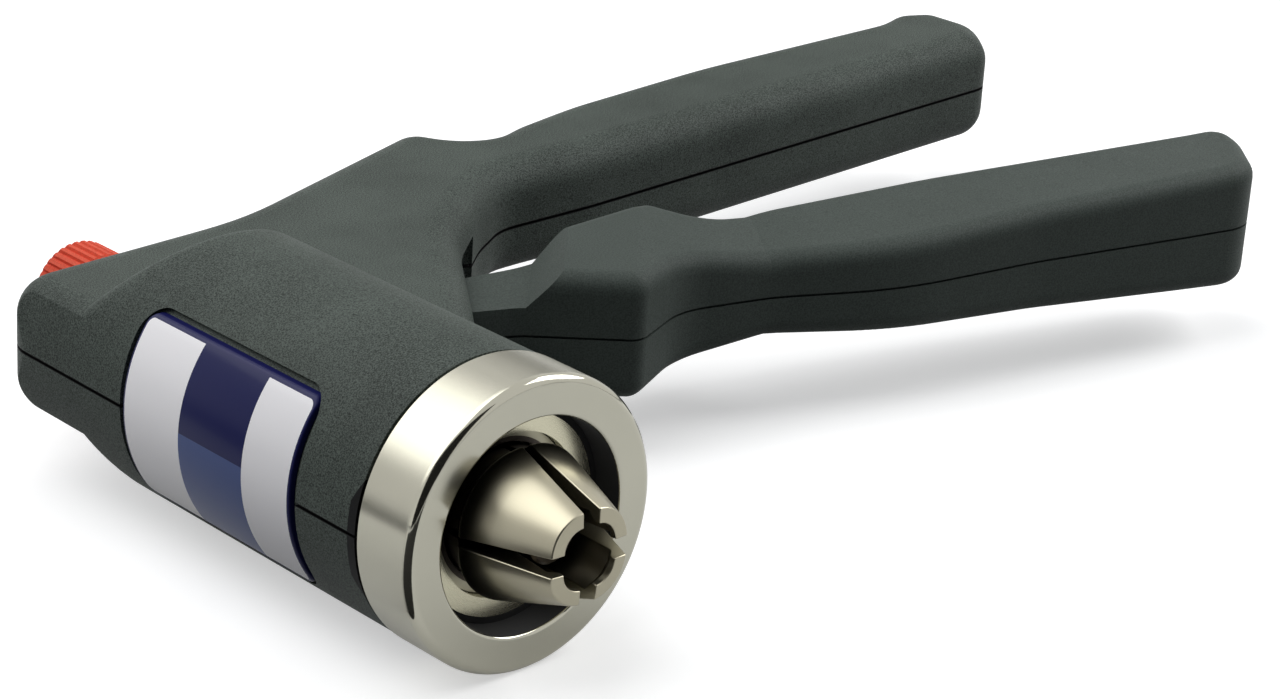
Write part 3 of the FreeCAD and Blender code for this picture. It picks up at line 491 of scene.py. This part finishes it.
def turned_metal(name, colour, roughness, bump, patchy=0.12, uneven=0.25):
    """Turned and brushed metal, a little uneven in tone and in polish."""
    scratch_deep = 0.00002
    material, tree, shader = new_material(name, colour, roughness, 1.0)
    grain = use_group(tree, TURNED_GRAIN)
    dark, light = shades(colour, patchy, patchy)
    tint = ramp(tree, grain["Patch"], (0.3, dark), (0.7, light))
    wire(tree, tint, shader.inputs["Base Color"])
    swing = times(tree, minus(tree, grain["Height"], 0.5), uneven)
    wire(tree, plus(tree, swing, roughness), shader.inputs["Roughness"])
    bumped(tree, shader, grain["Height"], bump, scratch_deep)
    return material, tree, shader, tint


def roughen(tree, shader, mask, rougher):
    """Makes the metal duller where a mask is 1."""
    before = shader.inputs["Roughness"].links[0].from_socket
    duller = plus(tree, before, times(tree, mask, rougher))
    wire(tree, duller, shader.inputs["Roughness"])


def blacken(tree, shader, tint, mask, rougher):
    """Makes the metal black and dull where a mask is 1."""
    wire(tree, mixed(tree, mask, tint, BLACKED), shader.inputs["Base Color"])
    wire(tree, minus(tree, 1.0, mask), shader.inputs["Metallic"])
    roughen(tree, shader, mask, rougher)


def ring_steel():
    """Polished ring with a brushed wall and a bore that is made black and dull."""
    material, tree, shader, tint = turned_metal(
        "polished ring", RING_COLOUR, roughness=0.09, bump=0.015, patchy=0.02, uneven=0.04)
    radius = use_group(tree, BARREL_PLACE)["Radius"]
    bore = below(tree, radius, RING_BORE_R + RING_BORE_SKIN)
    wall = above(tree, radius, RING_WALL_R)
    roughen(tree, shader, wall, rougher=0.17)
    blacken(tree, shader, tint, bore, rougher=0.8)
    round_axis = tree.nodes.new("ShaderNodeTangent")
    round_axis.direction_type = "RADIAL"
    round_axis.axis = "Y"
    wire(tree, round_axis.outputs["Tangent"], shader.inputs["Tangent"])
    shader.inputs["Anisotropic"].default_value = 0.88
    shader.inputs["Anisotropic Rotation"].default_value = 0.25
    return material


def collar_steel():
    """Dark collar round the jaw roots, with a satin outer land."""
    material, tree, shader, tint = turned_metal(
        "blackened steel", COLLAR_COLOUR, roughness=0.36, bump=0.03, patchy=0.1, uneven=0.1)
    land = above(tree, use_group(tree, BARREL_PLACE)["Radius"], COLLAR_LAND_R)
    wire(tree, mixed(tree, land, tint, COLLAR_LAND_COLOUR), shader.inputs["Base Color"])
    return material


def cup_floor_satin():
    """Satin floor of the cup, with painted shade making it black in the narrow step at the ring's
    bore.
    """
    material, tree, shader, tint = turned_metal(
        "satin head", HEAD_COLOUR, roughness=0.27, bump=0.01, patchy=0.03, uneven=0.05)
    # Painted shade: black on the floor's outer edge beside the ring's bore
    step = above(tree, use_group(tree, BARREL_PLACE)["Radius"], CUP_SATIN_R)
    blacken(tree, shader, tint, step, rougher=0.6)
    return material


def jaw_satin():
    """Satin jaws with painted shade that darkens them towards their roots in the cup."""
    material, tree, shader, tint = turned_metal(
        "satin jaws", JAW_COLOUR, roughness=0.3, bump=0.0025, patchy=0.01, uneven=0.02)
    # Painted shade: the jaws darken from their tips towards their roots in the cup
    from_bright = minus(tree, use_group(tree, BARREL_PLACE)["Back"], JAW_DARK_FROM)
    painted_root_shade = ramp(tree, times(tree, from_bright, 1 / JAW_DARK_LONG),
                (0.0, (1, 1, 1)), (1.0, JAW_ROOT_SHADE))
    wire(tree, mixed(tree, 1.0, tint, painted_root_shade, "MULTIPLY"), shader.inputs["Base Color"])
    return material


def label_print():
    """The label's plain bands, navy over navy with a painted reflection, between white fields,
    with a navy edge.
    """
    material, tree, shader = new_material("label print", LABEL_WHITE, 0.3)
    place = use_group(tree, BARREL_PLACE)
    band = between(tree, place["Back"], BAND_FROM, BAND_TO)
    upper = above(tree, place["Up"], BAND_TURNS_NAVY_UP)
    # Painted reflection: the band's lower half is its navy print lightened by a painted sheen
    navy_and_reflection = mixed(tree, upper, LABEL_NAVY_AND_REFLECTION, LABEL_NAVY)
    fields = mixed(tree, band, LABEL_WHITE, navy_and_reflection)
    along = minus(tree, apart(tree, place["Back"], LABEL_MIDDLE), LABEL_LONG / 2 - LABEL_CORNER_R)
    across = minus(tree, maths(tree, "ABSOLUTE", place["Up"]), LABEL_HALF - LABEL_CORNER_R)
    corner = hypotenuse(tree, larger(tree, along, 0.0), larger(tree, across, 0.0))
    inner = smaller(tree, larger(tree, along, across), 0.0)
    edge = above(tree, plus(tree, corner, inner), LABEL_CORNER_R - LABEL_BORDER)
    wire(tree, mixed(tree, edge, fields, LABEL_EDGE), shader.inputs["Base Color"])
    shader.inputs["Specular IOR Level"].default_value = 0.12
    shader.inputs["Coat Weight"].default_value = 0.05
    shader.inputs["Coat Roughness"].default_value = 0.1
    return material


# Meshes

def smoothed(mesh, sharp):
    """Points the faces outwards and shades them smooth, but for edges over an angle."""
    form = bmesh.new()
    form.from_mesh(mesh)
    bmesh.ops.recalc_face_normals(form, faces=form.faces)
    form.to_mesh(mesh)
    form.free()
    mesh.shade_smooth()
    mesh.set_sharp_from_angle(angle=math.radians(sharp))


def solid_mesh(name, points, faces):
    """A closed piece from its points and faces."""
    mesh = bpy.data.meshes.new(name)
    mesh.from_pydata(points, [], faces)
    smoothed(mesh, SHARP_SOLID)
    made = bpy.data.objects.new(name, mesh)
    bpy.context.scene.collection.objects.link(made)
    return made


def walls(count, rings, closed=False):
    """Faces between neighbouring rings of so many points, and from last to first if closed."""
    faces = []
    for ring in range(rings if closed else rings - 1):
        for k in range(count):
            a, b = ring * count + k, ring * count + (k + 1) % count
            c, d = (b + count) % (rings * count), (a + count) % (rings * count)
            faces.append((a, b, c, d))
    return faces


def arc(centre_r, centre_back, r, start, end, steps):
    """Points on an arc of a section, angles in degrees: 0 is outwards, 90 is backwards."""
    points = []
    for step in range(steps + 1):
        angle = math.radians(start + (end - start) * step / steps)
        points.append((centre_r + r * math.cos(angle), centre_back + r * math.sin(angle)))
    return points


def jaw_profile():
    """The closed jaw's section: lip, tip, cone, base rim, neck with its bead, tail, bore."""
    tip_edge = JAW_TIP_EDGE_R
    bead = math.degrees(math.acos(JAW_BEAD_PROUD / JAW_BEAD_R))
    tail_bore = JAW_NECK_R - JAW_TAIL_WALL
    groove_r = JAW_NECK_R - JAW_GROOVE_DEEP
    return (
        [(JAW_LIP_R, JAW_TIP_BACK)]
        + arc(JAW_TIP_R - tip_edge, JAW_TIP_BACK + tip_edge, tip_edge,
              start=-90, end=-20, steps=5)
        + [(JAW_BASE_R, JAW_BASE_BACK)]
        + arc(JAW_BASE_R - JAW_BASE_EDGE_IN, JAW_BASE_BACK + JAW_BASE_EDGE_R,
              JAW_BASE_EDGE_R, start=-10, end=70, steps=4)
        + [(JAW_NECK_R, JAW_BASE_BACK + JAW_BASE_LONG)]
        + arc(JAW_NECK_R + JAW_BEAD_PROUD, JAW_PIVOT_BACK, JAW_BEAD_R,
              start=-180 + bead, end=180 - bead, steps=12)
        + [(JAW_NECK_R, JAW_GROOVE_FROM), (groove_r, JAW_GROOVE_FROM),
           (groove_r, JAW_GROOVE_TO), (JAW_NECK_R, JAW_GROOVE_TO),
           (JAW_NECK_R, JAW_TAIL_BACK), (tail_bore, JAW_TAIL_BACK),
           (tail_bore, JAW_BORE_BACK), (JAW_BORE_R, JAW_BORE_BACK),
           (JAW_BORE_R, JAW_TIP_BACK + JAW_LIP_END), (JAW_LIP_R, JAW_TIP_BACK + JAW_LIP_LONG)])


def slit_half(back):
    """Half the slit between two jaws, which widens towards the tails."""
    tail = max(0.0, back - JAW_PIVOT_BACK) / (JAW_TAIL_BACK - JAW_PIVOT_BACK)
    return JAW_SLIT_HALF + JAW_TAIL_ROOM * tail


def make_jaw(name, body, clock, material):
    """One jaw in its place, tipped open about its bead."""
    profile = jaw_profile()
    count = len(profile)
    tip = Matrix.Rotation(math.radians(-JAW_OPEN), 4, Vector((1, 0, 0)))
    pivot_r = JAW_NECK_R + JAW_BEAD_PROUD
    pivot = Vector((0, FACE_Y + JAW_PIVOT_BACK * MM, pivot_r * MM))
    turn = Matrix.Rotation(math.radians(90 - clock), 4, "Y")
    points = []
    for step in range(JAW_STEPS + 1):
        share = 2 * step / JAW_STEPS - 1
        for r, back in profile:
            limit = math.radians(45) - math.asin(slit_half(back) / r)
            angle = share * limit
            closed = Vector((
                r * MM * math.sin(angle), FACE_Y + back * MM, r * MM * math.cos(angle)))
            points.append(turn @ (pivot + tip @ (closed - pivot)))
    faces = walls(count, JAW_STEPS + 1)
    faces.append(tuple(range(count)))
    faces.append(tuple(range(JAW_STEPS * count, (JAW_STEPS + 1) * count)))
    piece = solid_mesh(name + "_satin", points, faces)
    bevel = piece.modifiers.new("broken edges", "BEVEL")
    bevel.width = JAW_BROKEN_EDGE * MM
    bevel.segments = 2
    bevel.limit_method = "ANGLE"
    bevel.angle_limit = math.radians(JAW_BROKEN_OVER)
    piece.data.materials.append(material)
    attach(piece, body)
    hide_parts(name)


def make_head(material):
    """The head tube, whose front is the satin floor of the cup round the jaws."""
    section = [
        (CUP_HOLE_R, CUP_FLOOR_BACK), (HEAD_R, CUP_FLOOR_BACK), (HEAD_R, HEAD_FLANGE_FROM),
        (HEAD_FLANGE_R, HEAD_FLANGE_FROM), (HEAD_FLANGE_R, HEAD_FLANGE_TO),
        (HEAD_R, HEAD_FLANGE_TO), (HEAD_R, HEAD_END), (HEAD_GUIDE_R, HEAD_END),
        (HEAD_GUIDE_R, HEAD_GUIDE_FROM), (HEAD_BORE_R, HEAD_GUIDE_FROM),
        (HEAD_BORE_R, HEAD_POCKET_TO), (HEAD_POCKET_R, HEAD_POCKET_TO),
        (HEAD_POCKET_R, HEAD_POCKET_FROM), (CUP_HOLE_R, CUP_HOLE_END)]
    points = []
    for step in range(HEAD_STEPS):
        angle = 2 * math.pi * step / HEAD_STEPS
        for r, back in section:
            points.append((
                r * MM * math.cos(angle), FACE_Y + back * MM, r * MM * math.sin(angle)))
    piece = solid_mesh("head_tube_satin", points, walls(len(section), HEAD_STEPS, closed=True))
    piece.data.materials.append(material)
    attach(piece, "housing")
    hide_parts("head_tube")


def label_ring(radius, inset):
    """The label's outline at a radius, drawn in by an inset: its front end, then its rear."""
    corner_r = LABEL_CORNER_R - inset
    straight = LABEL_HALF - LABEL_CORNER_R
    rows = []
    for step in range(LABEL_CORNER_STEPS + 1):
        angle = math.pi / 2 * (1 - step / LABEL_CORNER_STEPS)
        rows.append((-straight - corner_r * math.sin(angle), corner_r * math.cos(angle)))
    for step in range(1, LABEL_ROWS):
        rows.append((straight * (2 * step / LABEL_ROWS - 1), corner_r))
    rows += [(-up, out) for up, out in reversed(rows[:LABEL_CORNER_STEPS + 1])]
    front, rear = [], []
    for up, out in rows:
        half = LABEL_LONG / 2 - LABEL_CORNER_R + out
        x = -math.sqrt(radius ** 2 - up ** 2)
        front.append((x * MM, FACE_Y + (LABEL_MIDDLE - half) * MM, up * MM))
        rear.append((x * MM, FACE_Y + (LABEL_MIDDLE + half) * MM, up * MM))
    return front + rear[::-1]


def make_label(material):
    """The domed label in its recess on the barrel's left side, with a rounded edge."""
    rings = [label_ring(LABEL_INNER_R, 0)]
    for step in range(LABEL_EDGE_STEPS + 1):
        angle = math.pi / 2 * step / LABEL_EDGE_STEPS
        rings.append(label_ring(LABEL_OUTER_R - LABEL_EDGE_R * (1 - math.sin(angle)),
                                LABEL_EDGE_R * (1 - math.cos(angle))))
    count = len(rings[0])
    points = [point for ring in rings for point in ring]
    faces = walls(count, len(rings))
    for first in (0, (len(rings) - 1) * count):
        last = first + count - 1
        for row in range(count // 2 - 1):
            faces.append((first + row, first + row + 1, last - row - 1, last - row))
    piece = solid_mesh("label_domed", points, faces)
    piece.data.materials.append(material)
    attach(piece, "housing")
    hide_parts("label_plate")


def spring_wire_tree():
    """A coil of round wire along Y, from named sizes in metres."""
    tree = bpy.data.node_groups.new("spring wire", "GeometryNodeTree")
    for label, kind in (
            ("Mean radius", "Float"), ("Wire radius", "Float"), ("Turns", "Float"),
            ("Length", "Float"), ("Front", "Float"), ("Steps per turn", "Int"),
            ("Sides", "Int"), ("Steel", "Material")):
        tree.interface.new_socket(name=label, in_out="INPUT", socket_type="NodeSocket" + kind)
    tree.interface.new_socket(
        name="Geometry", in_out="OUTPUT", socket_type="NodeSocketGeometry")
    sizes = tree.nodes.new("NodeGroupInput").outputs
    result = tree.nodes.new("NodeGroupOutput")
    coil = node(
        tree, "GeometryNodeCurveSpiral", Resolution=sizes["Steps per turn"],
        Rotations=sizes["Turns"], Start_Radius=sizes["Mean radius"],
        End_Radius=sizes["Mean radius"], Height=sizes["Length"])
    place = node(tree, "ShaderNodeCombineXYZ", Y=sizes["Front"])
    along_y = node(
        tree, "GeometryNodeTransform", Geometry=coil.outputs[0],
        Translation=place.outputs[0], Rotation=(-math.pi / 2, 0, 0))
    wire_round = node(
        tree, "GeometryNodeCurvePrimitiveCircle", Resolution=sizes["Sides"],
        Radius=sizes["Wire radius"])
    swept = node(
        tree, "GeometryNodeCurveToMesh", Curve=along_y.outputs[0],
        Profile_Curve=wire_round.outputs[0], Fill_Caps=True)
    whole = node(tree, "GeometryNodeRealizeInstances", Geometry=swept.outputs[0])
    steel = node(
        tree, "GeometryNodeSetMaterial", Geometry=whole.outputs[0], Material=sizes["Steel"])
    wire(tree, steel.outputs[0], result.inputs["Geometry"])
    return tree


def grown(name, tree, **values):
    """The plain mesh that a Geometry Nodes tree grows from named values, as a piece."""
    piece = bpy.data.objects.new(name, bpy.data.meshes.new(name))
    bpy.context.scene.collection.objects.link(piece)
    modifier = piece.modifiers.new(name, "NODES")
    modifier.node_group = tree
    for item in tree.interface.items_tree:
        if item.in_out == "INPUT":
            modifier[item.identifier] = values[item.name.replace(" ", "_")]
    bpy.context.view_layer.update()
    seen = piece.evaluated_get(bpy.context.evaluated_depsgraph_get())
    mesh = bpy.data.meshes.new_from_object(seen)
    piece.modifiers.remove(modifier)
    smoothed(mesh, SHARP_WIRE)
    piece.data = mesh
    return piece


def make_return_spring(material):
    """The return spring in round wire."""
    low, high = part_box("return_spring")
    wire_r = SPRING_WIRE_R * MM
    front, rear = low.y + wire_r, high.y - wire_r
    piece = grown(
        "return_spring_wire", spring_wire_tree(), Mean_radius=high.x - wire_r,
        Wire_radius=wire_r, Turns=SPRING_TURNS, Length=rear - front, Front=front,
        Steps_per_turn=SPRING_STEPS, Sides=SPRING_SIDES, Steel=material)
    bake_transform(piece)
    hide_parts("return_spring")


# Dressing

def paint(material, *names):
    """Gives CAD nodes a material."""
    for name in names:
        mesh = nodes[name].data
        mesh.materials.clear()
        mesh.materials.append(material)


def dress_housing_and_lever():
    """The moulded shells of the housing and the lever, and the knob."""
    paint(housing_plastic(), "housing_upper", "housing_lower")
    lever_plastic = moulded_plastic("lever plastic", LEVER_COLOUR, speckled=0.3, bump=0.2)[0]
    paint(lever_plastic, "lever_grip_upper", "lever_grip_lower")
    knob_plastic = moulded_plastic("red plastic", rgb(214, 88, 66), speckled=0.15, bump=0.2)[0]
    paint(knob_plastic, "adjuster_knob")


def dress_crimping_head():
    """The nose ring, the head tube, the four jaws, their collar and the anvil's head."""
    paint(ring_steel(), "nose_ring")
    make_head(cup_floor_satin())
    jaws = jaw_satin()
    for name, body, clock in (
            ("jaw_top_right", "jaw_a", 45), ("jaw_top_left", "jaw_b", 135),
            ("jaw_bottom_left", "jaw_c", 225), ("jaw_bottom_right", "jaw_d", 315)):
        make_jaw(name, body, clock, jaws)
    paint(collar_steel(), "jaw_collar", "anvil_head")


def dress_inside():
    """The works inside, and the screws."""
    plain_steel = turned_metal("plain steel", rgb(170, 170, 168), roughness=0.32, bump=0.2)[0]
    paint(plain_steel, "jaw_seat", "closing_sleeve", "anvil_rod", "anvil_key_pin",
          "retaining_ring", "adjuster_spindle", "pivot_pin", "lever_arm")
    make_return_spring(plain_steel)
    bronze = turned_metal("sintered bronze", rgb(190, 150, 96), roughness=0.42, bump=0.3)[0]
    paint(bronze, "guide_bush", "adjuster_bush", "pivot_bushes")
    zinc = turned_metal("zinc plate", rgb(150, 152, 156), roughness=0.3, bump=0.2)[0]
    paint(zinc, "housing_screws", "lever_screws", "knob_screw")
    rubber = moulded_plastic("black rubber", rgb(28, 28, 28), speckled=0.2, bump=0.3)[0]
    paint(rubber, "jaw_ring", "friction_ring")


# Studio

def background(tree, colour, strength):
    made = tree.nodes.new("ShaderNodeBackground")
    made.inputs["Color"].default_value = colour
    made.inputs["Strength"].default_value = strength
    return made.outputs[0]


def make_world():
    """An even dim studio for diffuse light, and plain white for the camera and reflections."""
    world = bpy.data.worlds.new("studio")
    bpy.context.scene.world = world
    world.use_nodes = True
    tree = world.node_tree
    tree.nodes.clear()
    mix = tree.nodes.new("ShaderNodeMixShader")
    wire(tree, seen_directly(tree), mix.inputs[0])
    wire(tree, background(tree, STUDIO_COLOUR, STUDIO_STRENGTH), mix.inputs[1])
    wire(tree, background(tree, grey(1), 1.0), mix.inputs[2])
    output = tree.nodes.new("ShaderNodeOutputWorld")
    wire(tree, mix.outputs[0], output.inputs[0])


def lamp(name, place, aim, size, power):
    """A square soft box that looks from a place to an aim, both in metres."""
    data = bpy.data.lights.new(name, "AREA")
    data.size = size
    data.energy = power
    made = bpy.data.objects.new(name, data)
    made.location = place
    made.rotation_mode = "QUATERNION"
    made.rotation_quaternion = (Vector(aim) - Vector(place)).to_track_quat("-Z", "Y")
    bpy.context.scene.collection.objects.link(made)


def plane(name, centre, aim, width, height):
    """A flat rectangle that faces an aim."""
    turn = (Vector(aim) - Vector(centre)).to_track_quat("Z", "Y").to_matrix()
    corners = []
    for across, along in ((-1, -1), (1, -1), (1, 1), (-1, 1)):
        out = Vector((across * width / 2, along * height / 2, 0))
        corners.append(Vector(centre) + turn @ out)
    mesh = bpy.data.meshes.new(name)
    mesh.from_pydata(corners, [], [(0, 1, 2, 3)])
    made = bpy.data.objects.new(name, mesh)
    bpy.context.scene.collection.objects.link(made)
    return made


def make_floor():
    """A pale floor that keeps the object's shadow and is white elsewhere."""
    floor = plane("floor", (0, 0, FLOOR_Z), (0, 0, 1), FLOOR_SIZE, FLOOR_SIZE)
    material, tree, shader = new_material("pale floor", grey(0.8), 0.9)
    seen = seen_directly(tree)
    colour = mixed(tree, seen, grey(FLOOR_UNSEEN), grey(FLOOR_SEEN))
    wire(tree, colour, shader.inputs["Base Color"])
    by_camera = tree.nodes.new("ShaderNodeLightPath").outputs["Is Camera Ray"]
    glow = plus(tree, times(tree, by_camera, FLOOR_GLOW_CAMERA),
                times(tree, seen, FLOOR_GLOW_SEEN))
    shader.inputs["Emission Color"].default_value = grey(1)
    wire(tree, glow, shader.inputs["Emission Strength"])
    floor.data.materials.append(material)


def make_cards():
    """Black studio cards that only reflections see, for the metal's dark edges."""
    card_z = FLOOR_Z + CARD_OVER_FLOOR
    rear_z = FLOOR_Z + REAR_CARD_OVER_FLOOR
    black = new_material("black card", grey(0.01), 0.9)[0]
    for name, centre, aim, width, height in (
            ("camera side card", (-0.29, -0.42, 0.19), (0, 0, 0), 0.95, 0.72),
            ("rear floor card", (-0.25, 0.25, rear_z), (-0.25, 0.25, 1), 0.3, 0.3),
            ("far side card", (0.42, 0.43, 0.17), (0, 0, 0), 0.22, 0.16),
            ("floor card", (-0.165, -0.15, card_z), (-0.165, -0.15, 1), 0.28, 0.31)):
        card = plane(name, centre, aim, width, height)
        card.data.materials.append(black)
        card.visible_camera = False
        card.visible_shadow = False
        card.visible_diffuse = False


bpy.context.scene.view_settings.view_transform = "Standard"
make_camera()
make_world()
make_floor()
make_cards()
dress_housing_and_lever()
dress_crimping_head()
dress_inside()
make_label(label_print())
lamp("top box", *TOP_BOX)
lamp("right box", *RIGHT_BOX)
